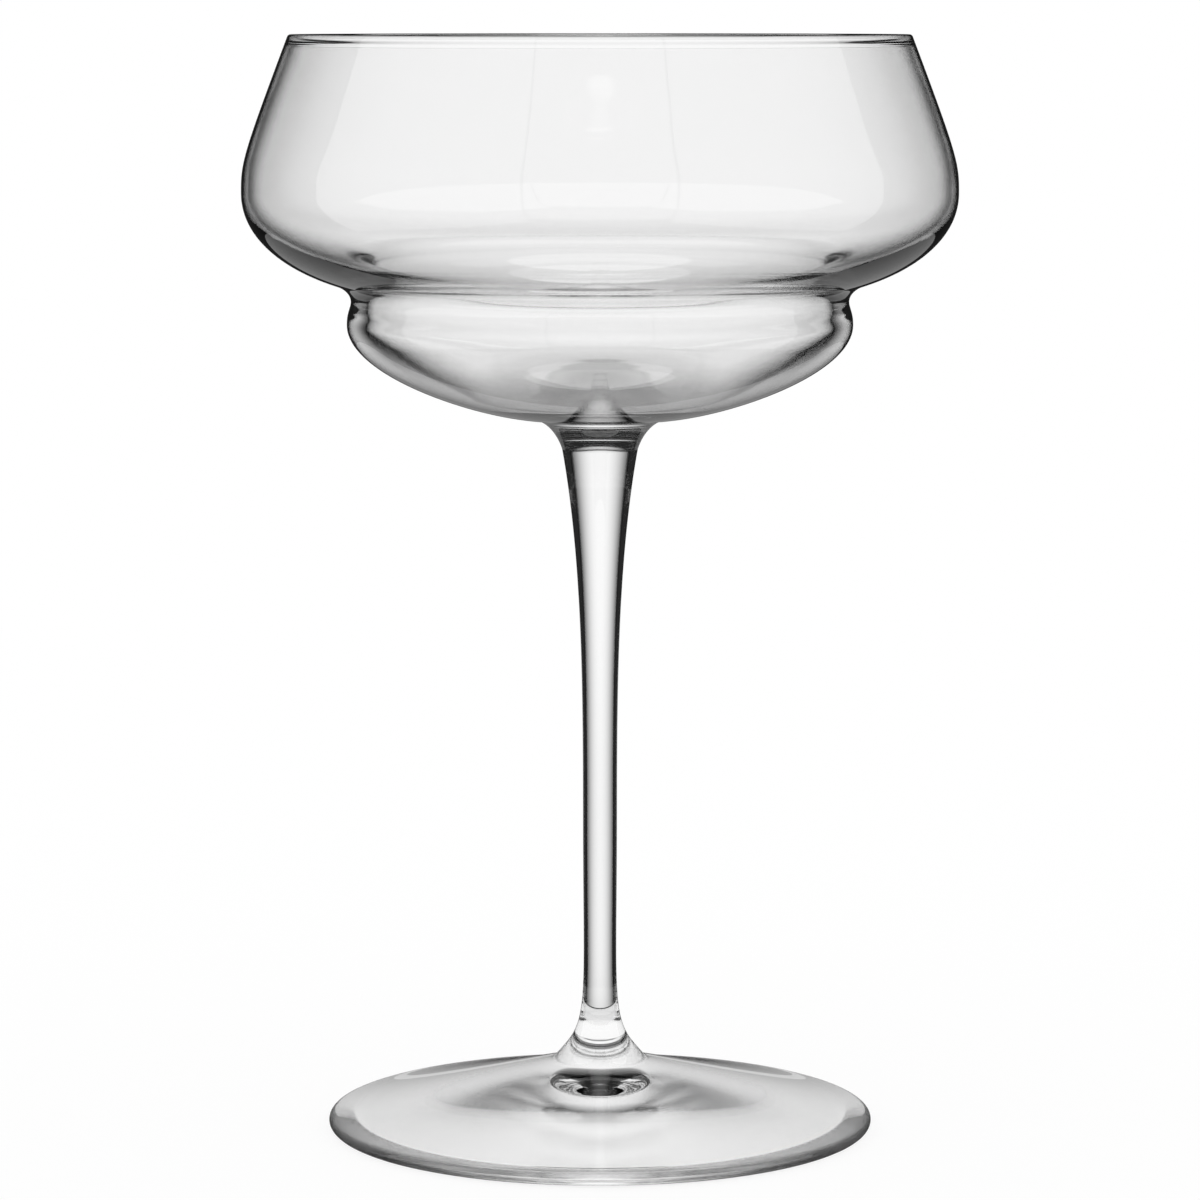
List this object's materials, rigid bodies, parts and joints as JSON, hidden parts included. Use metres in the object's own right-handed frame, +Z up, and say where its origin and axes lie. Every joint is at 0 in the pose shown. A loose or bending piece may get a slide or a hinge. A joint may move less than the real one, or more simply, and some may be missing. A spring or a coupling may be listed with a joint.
{
  "type": "cocktail glass",
  "caption": "Clear stemmed cocktail glass with a wide stepped bowl, a slim tapering stem and a round disc foot, for serving short drinks.",
  "frame": {"origin": "on the table, under the middle of the foot", "axes": "+Z up along the stem, which is the axis of revolution"},
  "size_m": [0.1036, 0.1036, 0.16],
  "materials": {
    "clear_glass": "fire-polished, clear and colourless"
  },
  "bodies": {
    "root": {"bowl": "clear_glass", "stem": "clear_glass", "foot": "clear_glass"}
  },
  "joints": []
}
